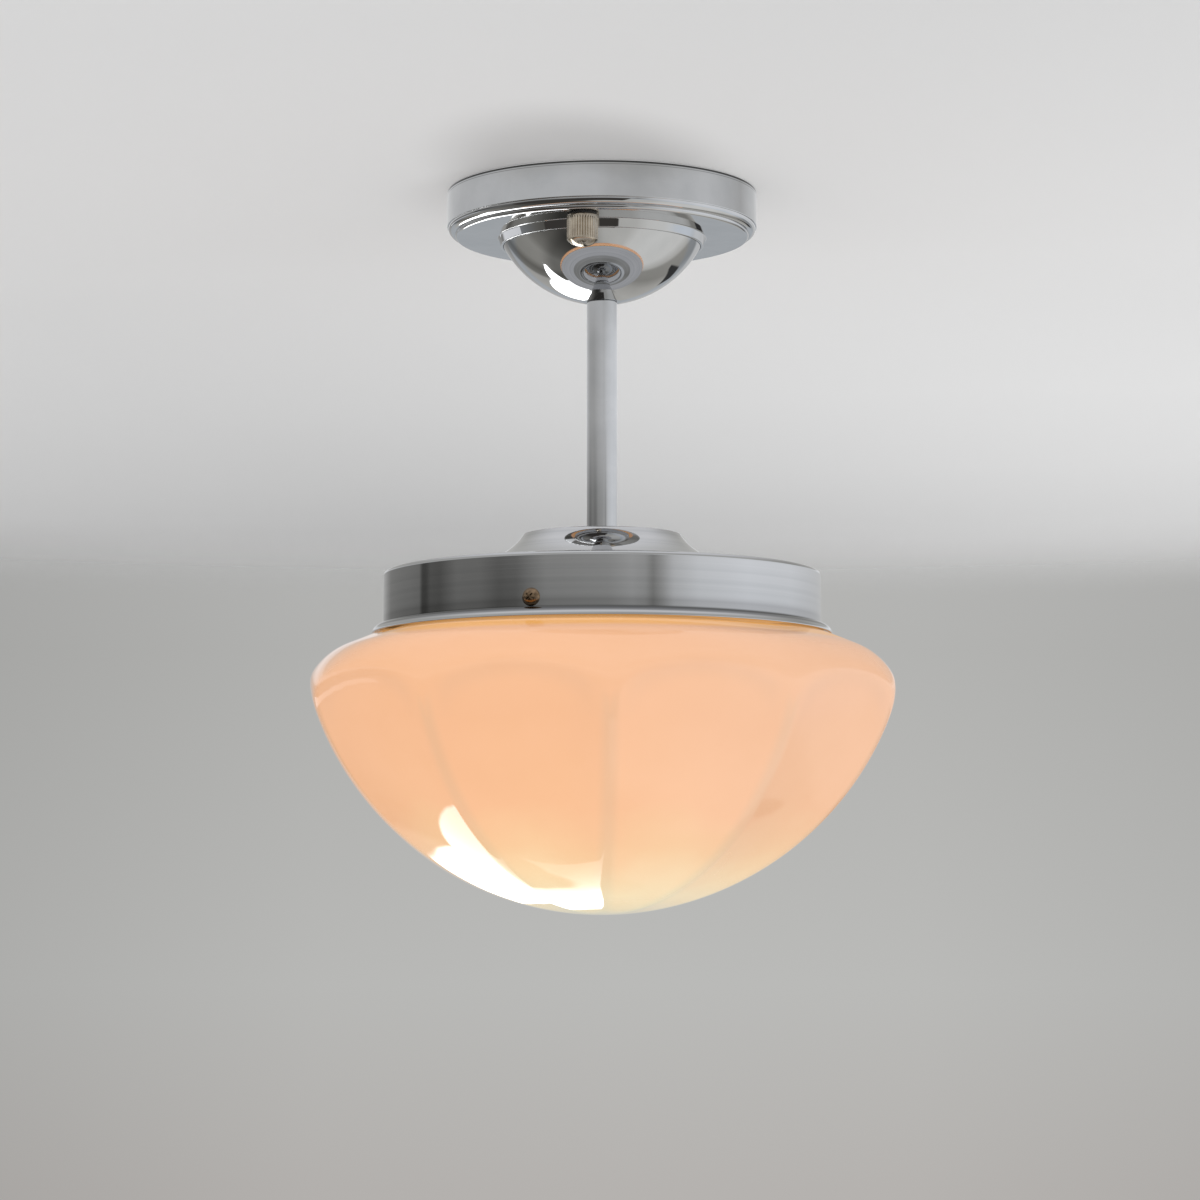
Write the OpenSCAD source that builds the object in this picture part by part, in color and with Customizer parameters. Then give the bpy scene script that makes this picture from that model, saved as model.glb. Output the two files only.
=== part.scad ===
// Semi-flush pendant light: a chromed rose and dome on the ceiling, a short rod, a spun
// gallery with three clamping screws, and a pressed opal glass bowl with ten panels.
// Millimetres. The ceiling is the plane z = 0 and the light hangs below it on the Z axis.
// The two ceiling studs lie on the Y axis, and the front is -Y.

/* [Rose] */
// Outer diameter of the rose
rose_d = 163; // [150:1:200]
// Height of the straight band of the rose
rose_band_h = 18.4; // [14:0.2:24]
// Sheet thickness of the rose and its dome
rose_wall = 1.2; // [0.8:0.1:1.6]
// Radius of the large quarter round under the band
ovolo_r = 3.1; // [2:0.1:4]
// Radius of the small bead under the quarter round
bead_r = 1.3; // [0.8:0.1:1.6]
// Width of each small step between the mouldings
step_w = 0.5; // [0.3:0.1:0.8]
// Distance of each cap nut's middle from the rose's edge
stud_inset = 17.2; // [14:0.2:24]
// Gap between a cap nut and the collar that the dome comes out of
nut_gap = 1.4; // [1:0.1:6]
// Height of that collar
collar_h = 4.5; // [3:0.1:6]
// Depth of the dome's flat pole below the ceiling
dome_drop = 57.6; // [48:0.2:66]
// How far the dome's flat pole stands out round the rod
pole_rim = 1.7; // [1.2:0.1:4]

/* [Ceiling bracket] */
// Width of the bracket strip
bar_w = 24; // [20:1:30]
// Thickness of the bracket strip
bar_t = 2; // [1.5:0.1:3]
// How far the strip's ends are cranked down from the ceiling
crank = 4; // [3.6:0.1:5]
// Distance between the two ceiling slots
slot_spacing = 66; // [62:1:70]
// Length of each ceiling slot, end to end
slot_l = 16; // [10:1:18]
// Width of each ceiling slot
slot_w = 4.6; // [4:0.1:5.4]
// Diameter of the cable hole in the middle
cable_hole_d = 12; // [8:1:14]
// Diameter of the studs
stud_d = 4; // [3:0.1:4.4]
// Diameter of the knurled cap nuts
cap_nut_d = 16; // [13:0.5:18]
// Length of the knurled cap nuts
cap_nut_l = 16; // [14:0.5:20]
// Length of stud that each cap nut holds
thread_grip = 11; // [8:0.5:11.5]
// Number of grooves round a cap nut
knurl_count = 36; // [20:2:40]
// Radius of each knurl groove
knurl_r = 0.45; // [0.3:0.05:0.5]

/* [Rod] */
// Outer diameter of the rod
rod_d = 16; // [15:0.5:18]
// Wall of the rod
rod_wall = 1.5; // [1:0.1:2]
// Length of the rod between dome and gallery
rod_l = 123.6; // [60:0.1:400]
// Diameter of the threaded nipples in its ends
nipple_d = 10; // [9.6:0.1:10.6]
// Wall of the nipples
nipple_wall = 1; // [0.9:0.1:1.6]

/* [Gallery] */
// Outer diameter of the gallery's drum
gallery_d = 228.2; // [210:0.2:250]
// Height of the drum down to its flange
drum_h = 27.6; // [24:0.2:34]
// Sheet thickness of the gallery
gallery_wall = 1.2; // [0.8:0.1:1.6]
// Radius of the rounded top edge of the drum
drum_edge_r = 2; // [1:0.1:3]
// How far the rounded flange stands out at the mouth
flange_w = 6; // [4.4:0.1:7]
// Height of the rounded flange
flange_h = 4.8; // [4:0.1:7]
// Radius of the flat top of the crown
crown_top_r = 41.2; // [34:0.2:44]
// Radius of the flared foot of the crown
crown_foot_r = 74; // [66:0.5:84]
// Outward lean of the crown's side at its top, as a share of its drop
crown_lean = 0.62; // [0.4:0.02:0.8]
// How late the crown's side flares, as a power of its drop
crown_flare = 2.26; // [2:0.02:3]
// Height of the crown
crown_h = 20.4; // [17:0.2:24]
// Gap between the flange and the screw heads above it
screw_gap = 0.2; // [0.2:0.1:2]
// Diameter of the clamping screws
screw_d = 5; // [4:0.1:5]
// Head diameter of the clamping screws
head_d = 9.2; // [8:0.1:9.4]
// Height of the screw heads
head_h = 2.8; // [2:0.1:3.4]
// Length of the soft tip on each screw
tip_l = 3; // [2:0.1:3.6]
// How deep each threaded boss stands inside the drum
boss_l = 4.5; // [3:0.1:5]
// Turn of the first clamping screw from the front stud, in degrees
gallery_turn = -8.9; // [-60:0.1:60]

/* [Glass] */
// Largest diameter of the rounded shoulder
bowl_d = 310.6; // [290:0.2:340]
// Depth of the bowl below the gallery's mouth
bowl_depth = 145.2; // [130:0.2:165]
// How much the arc that each panel follows is larger than the shoulder's radius
panel_over = 0.6; // [0:0.2:8]
// Pairs of opposite panels
panel_pairs = 5; // [4:1:7]
// Radius of the shoulder's arc, where the shoulder has room for it
shoulder_round = 33.2; // [24:0.1:40]
// Slope of the upper shoulder, in degrees
shoulder_slope = 22; // [16:1:30]
// Thickness of the glass
glass_wall = 3.4; // [3:0.2:5]
// Height of the glass neck inside the gallery
neck_h = 24; // [20:0.5:25]
// Radial gap between the gallery's inside and the glass neck
neck_gap = 9; // [8.6:0.1:12]
// Gap between the flange's edge and the glass under it
seat_gap = 0.4; // [0.3:0.1:1.5]
// Turn of one panel ridge from the front stud, in degrees
glass_turn = 10.4; // [-18:0.1:18]

/* [Lamp] */
// Diameter of the bulb
bulb_d = 60; // [45:1:70]
// Length of the bulb from contact to tip
bulb_l = 105; // [90:1:115]
// Outer diameter of the bulb's screw cap
cap_d = 26.2; // [25.6:0.1:26.4]
// Length of the bulb's screw cap
cap_l = 22; // [20:0.5:24]
// Outer diameter of the lampholder at its rim
holder_d = 45; // [42:0.5:50]
// Length of the lampholder's porcelain body
holder_l = 46; // [42:0.5:50]

/* [Wiring] */
// Diameter of the insulated wires
wire_d = 2.2; // [1.6:0.1:2.4]
// Width of the terminal block between its two faces
block_w = 13; // [11:0.5:13]
// Height of the terminal block
block_h = 12; // [10:0.5:12]
// Distance between neighbouring poles of the terminal block
pole_pitch = 9.6; // [8.6:0.1:10]

/* [Hidden] */
$fn = 64;

chrome = [0.78, 0.79, 0.81];
zinc = [0.66, 0.67, 0.68];
brass = [0.80, 0.63, 0.33];
opal = [0.98, 0.80, 0.64];
porcelain = [0.93, 0.92, 0.88];
nylon = [0.90, 0.90, 0.86];
fibre = [0.16, 0.15, 0.14];

// Clearances: running fits on the diameter, and air between a loose fit's two sides
run_fit = 0.1;
slip = 0.3;
cut = 1;

// Rose
rose_r = rose_d / 2;
ovolo_top = -(rose_band_h + step_w);
bead_top = ovolo_top - ovolo_r - step_w;
rose_face_z = bead_top - bead_r;
bead_edge_r = rose_r - step_w - ovolo_r - step_w;
face_edge_r = bead_edge_r - bead_r;
stud_y = rose_r - stud_inset;
cap_nut_r = cap_nut_d / 2;
collar_z = rose_face_z - collar_h;
collar_lean = 1.6;
collar_edge = 0.3;
collar_r = stud_y - cap_nut_r - nut_gap - collar_lean;
dome_gap = 0.2;
dome_neck_r = collar_r - rose_wall - dome_gap;
dome_flange_w = 4;
pole_z = -dome_drop;
rod_r = rod_d / 2;
pole_r = rod_r + pole_rim;
dome_rise = (dome_neck_r * dome_neck_r - pole_r * pole_r + collar_z * collar_z - pole_z * pole_z)
    / (2 * (collar_z - pole_z));
dome_r = sqrt(pole_r * pole_r + (dome_rise - pole_z) * (dome_rise - pole_z));
seat_z = rose_face_z + rose_wall;
dome_flange_r = collar_r + dome_flange_w;

// Ceiling bracket, studs and cap nuts
stud_r = stud_d / 2;
bar_end = 7;
bar_half = stud_y + bar_end;
crank_y = stud_y - 12;
pilot_r = 1.3;
stud_head_r = stud_d * 0.95;
stud_head_h = 2.6;
stud_nut_w = stud_d * 1.75;
stud_nut_h = 3.2;
cap_washer_t = 1;
cap_washer_r = cap_nut_r - 0.8;
cap_top_z = rose_face_z - cap_washer_t;
stud_end_z = cap_top_z - thread_grip;
cap_bore_l = thread_grip + 1;
cap_rim = 1.2;
cap_round = 0.42 * cap_nut_r;

// Earth screw
earth_y = cable_hole_d / 2 + 9;
earth_r = stud_r;
earth_fit = 0.02;
earth_washer_r = earth_r + 2.4;
earth_washer_t = 0.8;
earth_head_r = earth_r + 1.8;
earth_head_h = 2.4;
drive_w = 1;
drive_h = 1.2;

// Rod and gallery levels
rod_in_r = rod_r - rod_wall;
rod_edge = 0.4;
nipple_r = nipple_d / 2;
nipple_in_r = nipple_r - nipple_wall;
nipple_grip = 7;
locknut_w = nipple_d + 4;
crown_z = pole_z - rod_l;
drum_z = crown_z - crown_h;
flange_top_z = drum_z - drum_h;
mouth_z = flange_top_z - flange_h;
drum_r = gallery_d / 2;
drum_in_r = drum_r - gallery_wall;
screw_r = screw_d / 2;
boss_wall = 2;
crown_edge_r = 0.6;
crown_steps = 12;
crown_skin = 0.8;
head_seat = drum_r + 0.05;
locknut_h = 4;
washer_t = 1;
washer_w = 5;
plug_l = 14;

// Glass
neck_r = drum_in_r - neck_gap;
edge_r = drum_r + flange_w - gallery_wall;
edge_z = mouth_z - seat_gap;
neck_fillet = 1;
neck_foot_z = edge_z + (edge_r - neck_r) * tan(shoulder_slope) + neck_fillet;
rim_z = mouth_z + neck_h;
rim_edge = 0.5;
bowl_r = bowl_d / 2;
shoulder_room = (bowl_r - edge_r - 2) / (1 - sin(shoulder_slope));
shoulder_r = min(shoulder_round, shoulder_room);
panel_arc_r = bowl_r + panel_over;
tip_z = mouth_z - bowl_depth;
tip_flat = 0.1;
tip_angle = 87;
panel_z = tip_z + panel_arc_r;
arc_r_x = bowl_r - shoulder_r;
arc_z = edge_z - (arc_r_x + shoulder_r * sin(shoulder_slope) - edge_r) * tan(shoulder_slope)
    - shoulder_r * cos(shoulder_slope);

// The clamping screws clear the flange below their heads and the flare below their tips
screw_z = max(flange_top_z + screw_gap + head_d / 2, neck_foot_z + screw_r + slip);

// Lamp
holder_top_z = crown_z - gallery_wall - washer_t - locknut_h - 0.4;
cover_h = 13;
body_top_z = holder_top_z - cover_h;
holder_low_z = body_top_z - holder_l + cover_h;
holder_r = holder_d / 2;
cap_r = cap_d / 2;
cap_in = 3;
bulb_top_z = holder_low_z + cap_l + cap_in;
cap_wall = 0.8;
contact_r = 4.5;
contact_h = 4;
contact_w = 6;
contact_t = 0.6;
floor_z = bulb_top_z + 2;
shell_gap = 0.4;
shell_r = cap_r + shell_gap + cap_wall;
cover_step = 3;
cover_wall = 3;
cover_neck_r = nipple_r + 6;
entry_x = 6;
bulb_tip_z = bulb_top_z - bulb_l;
bulb_r = bulb_d / 2;
bulb_neck_r = cap_r - 0.2;
bulb_wall = 1;

// Wiring
wire_r = wire_d / 2;
wire_out = nipple_in_r / 2;
block_y = cable_hole_d / 2 + 2;
block_base = 4;
barrel_r = pole_pitch / 2 - 0.8;
block_l = 3 * pole_pitch - 0.8;
pole_bore_z = -bar_t - block_h * 0.45;
tube_r = 2.1;
tube_bore_r = 1.4;
tube_inset = 1;
tower_r = 2.6;
tower_bore_r = 1.8;
terminal_screw_r = 1.6;
screw_places = [0.26, 0.74];

// Points on an arc, as radius and height, from angle a to angle b
function arc(cx, cz, r, a, b, n) = oval(cx, cz, r, r, a, b, n);

// The same on an oval of half width rx and half height rz
function oval(cx, cz, rx, rz, a, b, n) =
    [for (i = [0:n]) let (t = a + (b - a) * i / n) [cx + rx * cos(t), cz + rz * sin(t)]];

// Places its children at an angle round the axis, measured from the front towards +X
module around(angle) {
    rotate([0, 0, angle - 90]) children();
}

// Lays its children, drawn along +Z, out along a radius of the light
module outward(angle, z) {
    around(angle) translate([0, 0, z]) rotate([0, 90, 0]) children();
}

module ring(outer_r, inner_r, h, z) {
    translate([0, 0, z]) difference() {
        cylinder(r = outer_r, h = h);
        translate([0, 0, -cut]) cylinder(r = inner_r, h = h + 2 * cut);
    }
}

module hex_nut(across, bore_r, h, z) {
    translate([0, 0, z]) difference() {
        cylinder(r = across / sqrt(3), h = h, $fn = 6);
        translate([0, 0, -cut]) cylinder(r = bore_r, h = h + 2 * cut);
    }
}

// Ceiling bracket: a strip with cranked ends, a cable hole and two slots
module ceiling_bracket() {
    color(zinc) difference() {
        translate([-bar_w / 2, 0, 0]) rotate([90, 0, 90]) linear_extrude(bar_w) polygon([
            [-crank_y, 0], [crank_y, 0], [crank_y + crank, -crank], [bar_half, -crank],
            [bar_half, -crank - bar_t], [crank_y + crank - bar_t / 2, -crank - bar_t],
            [crank_y - bar_t / 2, -bar_t], [-crank_y + bar_t / 2, -bar_t],
            [-crank_y - crank + bar_t / 2, -crank - bar_t], [-bar_half, -crank - bar_t],
            [-bar_half, -crank], [-crank_y - crank, -crank]]);
        translate([0, 0, -bar_t - cut]) cylinder(d = cable_hole_d, h = bar_t + 2 * cut);
        for (s = [-1, 1]) {
            translate([0, s * slot_spacing / 2, -bar_t - cut]) slot();
            translate([0, s * stud_y, -crank - bar_t - cut])
                cylinder(r = stud_r + run_fit / 2, h = bar_t + 2 * cut);
        }
        translate([0, -earth_y, -bar_t - cut]) cylinder(r = earth_r, h = bar_t + 2 * cut);
        for (s = [-1, 1])
            translate([s * pole_pitch / 2, block_y + block_w / 2, -bar_t - cut])
                cylinder(r = pilot_r, h = bar_t + 2 * cut);
    }
}

// Cutter for one ceiling slot, long along Y
module slot() {
    straight = slot_l - slot_w;
    h = bar_t + 2 * cut;
    translate([-slot_w / 2, -straight / 2, 0]) cube([slot_w, straight, h]);
    for (s = [-1, 1]) translate([0, s * straight / 2, 0]) cylinder(d = slot_w, h = h);
}

// Studs: pan head screws whose heads lie between the ceiling and the cranked ends
module stud_screws() {
    color(zinc) for (s = [-1, 1]) translate([0, s * stud_y, 0]) {
        translate([0, 0, -crank]) cylinder(r = stud_head_r, h = stud_head_h);
        translate([0, 0, stud_end_z])
            cylinder(r = stud_r, h = stud_head_h / 2 - crank - stud_end_z);
    }
}

module stud_nuts() {
    color(zinc) for (s = [-1, 1]) translate([0, s * stud_y, 0])
        hex_nut(stud_nut_w, stud_r, stud_nut_h, -crank - bar_t - stud_nut_h);
}

// Earth screw under the strip, with its cupped washer
module earth_screw() {
    washer_z = -bar_t - earth_washer_t;
    color(brass) translate([0, -earth_y, 0]) {
        translate([0, 0, washer_z - slip])
            cylinder(r = earth_r - earth_fit, h = bar_t + earth_washer_t);
        translate([0, 0, washer_z]) cylinder(r = earth_washer_r, h = earth_washer_t);
        translate([0, 0, washer_z - earth_head_h]) difference() {
            cylinder(r = earth_head_r, h = earth_head_h + earth_washer_t / 2);
            translate([-drive_w / 2, -earth_head_r - cut, -cut])
                cube([drive_w, 2 * (earth_head_r + cut), cut + drive_h]);
        }
    }
}

// Terminal block: three barrels joined by a base, with a bore through each pole
module terminal_block() {
    color(nylon) difference() {
        translate([0, block_y, 0]) {
            translate([-block_l / 2, 0, -bar_t - block_base]) cube([block_l, block_w, block_base]);
            for (p = [-1:1]) translate([p * pole_pitch, 0, 0]) {
                translate([0, 0, pole_bore_z]) rotate([-90, 0, 0])
                    cylinder(r = barrel_r, h = block_w);
                for (s = screw_places) translate([0, block_w * s, -bar_t - block_h])
                    cylinder(r = tower_r, h = block_h - block_base / 2);
            }
        }
        for (p = [-1:1]) translate([p * pole_pitch, block_y, 0]) {
            translate([0, -cut, pole_bore_z]) rotate([-90, 0, 0])
                cylinder(r = tube_r, h = block_w + 2 * cut);
            for (s = screw_places) translate([0, block_w * s, -bar_t - block_h - cut])
                cylinder(r = tower_bore_r, h = pole_bore_z + bar_t + block_h + cut);
        }
    }
}

// Brass tubes that clamp the wires, one in each pole
module terminal_tubes() {
    color(brass) for (p = [-1:1]) translate([p * pole_pitch, block_y, 0]) difference() {
        translate([0, tube_inset, pole_bore_z]) rotate([-90, 0, 0])
            cylinder(r = tube_r - run_fit / 2, h = block_w - 2 * tube_inset);
        translate([0, -cut, pole_bore_z]) rotate([-90, 0, 0])
            cylinder(r = tube_bore_r, h = block_w + 2 * cut);
    }
}

// Clamping screws of the terminal block, two to a pole
module terminal_screws() {
    sunk = 1;
    color(zinc) for (p = [-1:1], s = screw_places)
        translate([p * pole_pitch, block_y + block_w * s, -bar_t - block_h + sunk]) difference() {
            cylinder(r = terminal_screw_r, h = pole_bore_z - tube_r + bar_t + block_h - sunk);
            translate([-drive_w / 4, -terminal_screw_r - cut, -cut])
                cube([drive_w / 2, 2 * (terminal_screw_r + cut), cut + drive_h / 2]);
        }
}

// Rose: band, quarter round, bead, flat face and turned-down collar, all one spinning
module canopy_pan() {
    w = rose_wall;
    outer = concat(
        [[rose_r, 0], [rose_r, -rose_band_h], [rose_r - step_w, -rose_band_h]],
        arc(rose_r - step_w - ovolo_r, ovolo_top, ovolo_r, 0, -90, 8),
        [[bead_edge_r, ovolo_top - ovolo_r]],
        arc(face_edge_r, bead_top, bead_r, 0, -90, 5),
        [[collar_r + collar_lean, rose_face_z], [collar_r, collar_z + collar_edge],
         [collar_r - collar_edge, collar_z], [collar_r - w, collar_z]]);
    inner = [[collar_r - w, seat_z - collar_edge], [collar_r - w + collar_edge, seat_z],
        [face_edge_r - w, seat_z], [bead_edge_r - w, seat_z + bead_r],
        [rose_r - step_w - w - ovolo_r, ovolo_top - ovolo_r + w],
        [rose_r - w - step_w, ovolo_top + w], [rose_r - w, -rose_band_h + w], [rose_r - w, 0]];
    color(chrome) difference() {
        rotate_extrude($fn = 128) polygon(concat(outer, inner));
        for (s = [-1, 1]) translate([0, s * stud_y, rose_face_z - cut])
            cylinder(r = stud_r + slip, h = rose_wall + 2 * cut);
    }
}

// Dome: part of a sphere with a flat pole, and a flange that sits inside the rose
module canopy_dome() {
    w = rose_wall;
    top = seat_z + w;
    into = 0.1;
    color(chrome) difference() {
        union() {
            intersection() {
                translate([0, 0, dome_rise]) sphere(r = dome_r, $fn = 128);
                translate([0, 0, pole_z]) cylinder(r = rose_r, h = collar_z - pole_z);
            }
            translate([0, 0, collar_z]) cylinder(r = dome_neck_r, h = top - collar_z, $fn = 128);
            translate([0, 0, seat_z]) cylinder(r = dome_flange_r, h = w, $fn = 128);
        }
        intersection() {
            translate([0, 0, dome_rise]) sphere(r = dome_r - w, $fn = 128);
            translate([0, 0, pole_z + w]) cylinder(r = rose_r, h = collar_z - pole_z - w);
        }
        translate([0, 0, collar_z - into])
            cylinder(r = dome_neck_r - w, h = top - collar_z + cut, $fn = 128);
        translate([0, 0, pole_z - cut]) cylinder(r = nipple_r + slip, h = w + 2 * cut);
    }
}

// Fibre washer between the rose and a cap nut; side -1 is the front one
module cap_washer(side) {
    color(fibre) translate([0, side * stud_y, 0])
        ring(cap_washer_r, stud_r + run_fit / 2, cap_washer_t, cap_top_z);
}

// Knurled cap nut with a plain rim, a rounded blind end and a bore for the stud
module cap_nut(side) {
    knurl_top = cap_top_z - cap_rim;
    knurl_low = cap_top_z - cap_nut_l + cap_round;
    ball_r = (cap_nut_r * cap_nut_r + cap_round * cap_round) / (2 * cap_round);
    color(chrome) translate([0, side * stud_y, 0]) difference() {
        union() {
            translate([0, 0, knurl_low]) cylinder(r = cap_nut_r, h = cap_top_z - knurl_low);
            intersection() {
                translate([0, 0, cap_top_z - cap_nut_l + ball_r]) sphere(r = ball_r);
                translate([0, 0, cap_top_z - cap_nut_l]) cylinder(r = cap_nut_r, h = cap_round);
            }
        }
        for (i = [0:knurl_count - 1]) rotate([0, 0, i * 360 / knurl_count])
            translate([cap_nut_r + knurl_r * 0.35, 0, knurl_low + cap_rim / 2])
                cylinder(r = knurl_r, h = knurl_top - knurl_low - cap_rim / 2);
        translate([0, 0, cap_top_z - cap_bore_l])
            cylinder(r = stud_r + run_fit / 2, h = cap_bore_l + cut);
    }
}

// Threaded tube that joins the dome to the rod
module top_nipple() {
    color(zinc) ring(nipple_r, nipple_in_r, nipple_grip + plug_l, pole_z - plug_l);
}

module top_washer() {
    color(zinc) ring(pole_r - washer_t, nipple_r + slip, washer_t, pole_z + rose_wall);
}

module top_locknut() {
    color(zinc) hex_nut(locknut_w, nipple_r, locknut_h, pole_z + rose_wall + washer_t);
}

// Rod: a plain tube with a fine chamfer at each end
module rod() {
    e = rod_edge;
    color(chrome) rotate_extrude($fn = 96) polygon([
        [rod_r - e, pole_z], [rod_r, pole_z - e], [rod_r, crown_z + e], [rod_r - e, crown_z],
        [rod_in_r, crown_z], [rod_in_r, pole_z]]);
}

// Threaded plugs brazed into the two ends of the rod
module rod_plugs() {
    color(brass) {
        ring(rod_in_r, nipple_r, plug_l, pole_z - plug_l);
        ring(rod_in_r, nipple_r, plug_l, crown_z);
    }
}

// Threaded tube that joins the rod to the gallery and the lampholder
module bottom_nipple() {
    low = holder_top_z - nipple_grip;
    color(zinc) ring(nipple_r, nipple_in_r, crown_z + plug_l - low, low);
}

module bottom_washer() {
    color(zinc) ring(nipple_r + washer_w, nipple_r + slip, washer_t,
        crown_z - gallery_wall - washer_t);
}

module bottom_locknut() {
    color(zinc) hex_nut(locknut_w, nipple_r, locknut_h,
        crown_z - gallery_wall - washer_t - locknut_h);
}

// Side of the crown from its top to its flared foot, drawn in and down by the inset, as radius
// and height
function crown_side(inset) = [for (i = [0:crown_steps]) let (t = i / crown_steps)
    [crown_top_r + crown_lean * crown_h * t - inset
        + (crown_foot_r - crown_top_r - crown_lean * crown_h) * pow(t, crown_flare),
     crown_z - crown_h * t - inset]];

// Gallery: crown, drum and rounded flange, all one spinning
module gallery() {
    w = gallery_wall;
    e = drum_edge_r;
    outer = concat(
        [[nipple_r + slip, crown_z]],
        [[crown_top_r - crown_edge_r, crown_z],
         [crown_top_r + crown_lean * crown_edge_r, crown_z - crown_edge_r]],
        [for (i = [1:crown_steps]) crown_side(0)[i]],
        arc(drum_r - e, drum_z - e, e, 90, 0, 6),
        [[drum_r, flange_top_z]],
        oval(drum_r, mouth_z, flange_w, flange_h, 90, 0, 8));
    inner = concat(
        oval(drum_r, mouth_z, flange_w - w, flange_h - w, 0, 90, 8),
        [[drum_in_r, flange_top_z - w]],
        arc(drum_r - e, drum_z - e, e - w * 0.9, 0, 90, 4),
        [for (i = [crown_steps:-1:1]) crown_side(w * crown_skin)[i]],
        [[crown_top_r - crown_edge_r - w * crown_skin, crown_z - w],
         [nipple_r + slip, crown_z - w]]);
    color(chrome) difference() {
        rotate_extrude($fn = 128) polygon(concat(outer, inner));
        for (i = [0:2]) outward(gallery_turn + 120 * i, screw_z)
            translate([0, 0, drum_in_r - cut])
                cylinder(r = screw_r + slip / 2, h = gallery_wall + 2 * cut);
    }
}

// Threaded bosses brazed inside the drum, one behind each clamping screw
module screw_bosses() {
    color(brass) for (i = [0:2]) outward(gallery_turn + 120 * i, screw_z) difference() {
        intersection() {
            translate([0, 0, drum_in_r - boss_l])
                cylinder(r = screw_r + boss_wall, h = boss_l + cut);
            rotate([0, -90, 0])
                cylinder(r = drum_in_r - run_fit / 2, h = drum_h, center = true, $fn = 128);
        }
        translate([0, 0, drum_in_r - boss_l - cut])
            cylinder(r = screw_r + run_fit / 2, h = boss_l + 2 * cut);
    }
}

// Soft tip on the end of one clamping screw, resting against the glass neck
module screw_tip(i) {
    color(nylon) outward(gallery_turn + 120 * i, screw_z)
        translate([0, 0, neck_r + slip]) cylinder(r = screw_r - run_fit, h = tip_l);
}

// Clamping screw: shank and rounded head with a cross recess
module gallery_screw(i) {
    ball_r = (head_d * head_d / 4 + head_h * head_h) / (2 * head_h);
    recess_l = head_d * 0.48;
    recess_w = 0.9;
    recess_h = 1.2;
    start = neck_r + slip + tip_l;
    color(brass) outward(gallery_turn + 120 * i, screw_z) difference() {
        union() {
            translate([0, 0, start]) cylinder(r = screw_r, h = head_seat - start + head_h / 2);
            intersection() {
                translate([0, 0, head_seat + head_h - ball_r]) sphere(r = ball_r);
                translate([0, 0, head_seat]) cylinder(d = head_d, h = head_h + cut);
            }
        }
        for (a = [45, 135]) rotate([0, 0, a])
            translate([-recess_l / 2, -recess_w / 2, head_seat + head_h - recess_h])
                cube([recess_l, recess_w, recess_h + cut]);
    }
}

// Where a panel meets the round shoulder: the shoulder arc's angle at d degrees from the
// panel's middle, found by halving the span between a point outside and one inside
function over_panel(t, d, inset) =
    let (end_r = shoulder_r - inset, z = arc_z + end_r * sin(t) - panel_z,
        flat_r = panel_arc_r - inset)
    (arc_r_x + end_r * cos(t)) * cos(d) - sqrt(max(0, flat_r * flat_r - z * z));
function arch_angle(d, inset, low = -25, high = 75, tries = 24) =
    let (mid = (low + high) / 2)
    tries == 0 ? mid
        : over_panel(mid, d, inset) > 0 ? arch_angle(d, inset, mid, high, tries - 1)
        : arch_angle(d, inset, low, mid, tries - 1);

// Section of the bowl at d degrees from a panel's middle, drawn in by the inset, from the
// upper shoulder down the panel to near the tip, as radius and height
function bowl_section(d, inset, shoulder_steps, panel_steps) =
    let (t = arch_angle(d, inset), flat_r = panel_arc_r - inset,
        start = asin((panel_z - arc_z - (shoulder_r - inset) * sin(t)) / flat_r))
    concat(arc(arc_r_x, arc_z, shoulder_r - inset, 90 - shoulder_slope, t, shoulder_steps),
        [for (i = [1:panel_steps]) let (b = start + (tip_angle - start) * i / panel_steps)
            [flat_r * cos(b) / cos(d), panel_z - flat_r * sin(b)]]);

// The whole section at d degrees: down the outside, and back up the inside
function glass_section(d) =
    let (inner = bowl_section(d, glass_wall, 6, 8), in_r = neck_r - glass_wall,
        slope = tan(shoulder_slope))
    concat([[neck_r - rim_edge, rim_z], [neck_r, rim_z - rim_edge], [neck_r, neck_foot_z],
        [neck_r + neck_fillet, edge_z + (edge_r - neck_r - neck_fillet) * slope],
        [edge_r, edge_z]],
        bowl_section(d, 0, 7, 11),
        [for (i = [len(inner) - 1:-1:0]) inner[i]],
        [[in_r, inner[0][1] + (inner[0][0] - in_r) * slope], [in_r, rim_z]]);

// Glass bowl: panels that meet in ridges, a round shoulder and a straight neck
module glass_bowl() {
    panels = 2 * panel_pairs;
    columns = 5;
    wide = 360 / panels;
    sections = [for (j = [0:columns - 1]) glass_section(j * wide / columns - wide / 2)];
    m = len(sections[0]);
    n = panels * columns;
    points = concat([for (k = [0:n - 1]) let (a = glass_turn - 90 + k * 360 / n)
        for (q = sections[k % columns]) [q[0] * cos(a), q[0] * sin(a), q[1]]],
        [[0, 0, tip_z + tip_flat], [0, 0, tip_z + tip_flat + glass_wall]]);
    last_outer = 5 + 7 + 11;
    color(opal) polyhedron(points, concat(
        [for (k = [0:n - 1], i = [0:m - 1]) if (i != last_outer)
            let (a = k * m + i, b = ((k + 1) % n) * m + i, c = k * m + (i + 1) % m,
                d = ((k + 1) % n) * m + (i + 1) % m)
            each [[a, b, d], [a, d, c]]],
        [for (k = [0:n - 1]) let (a = k * m + last_outer, b = ((k + 1) % n) * m + last_outer)
            each [[a, b, n * m], [b + 1, a + 1, n * m + 1]]]));
}

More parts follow.
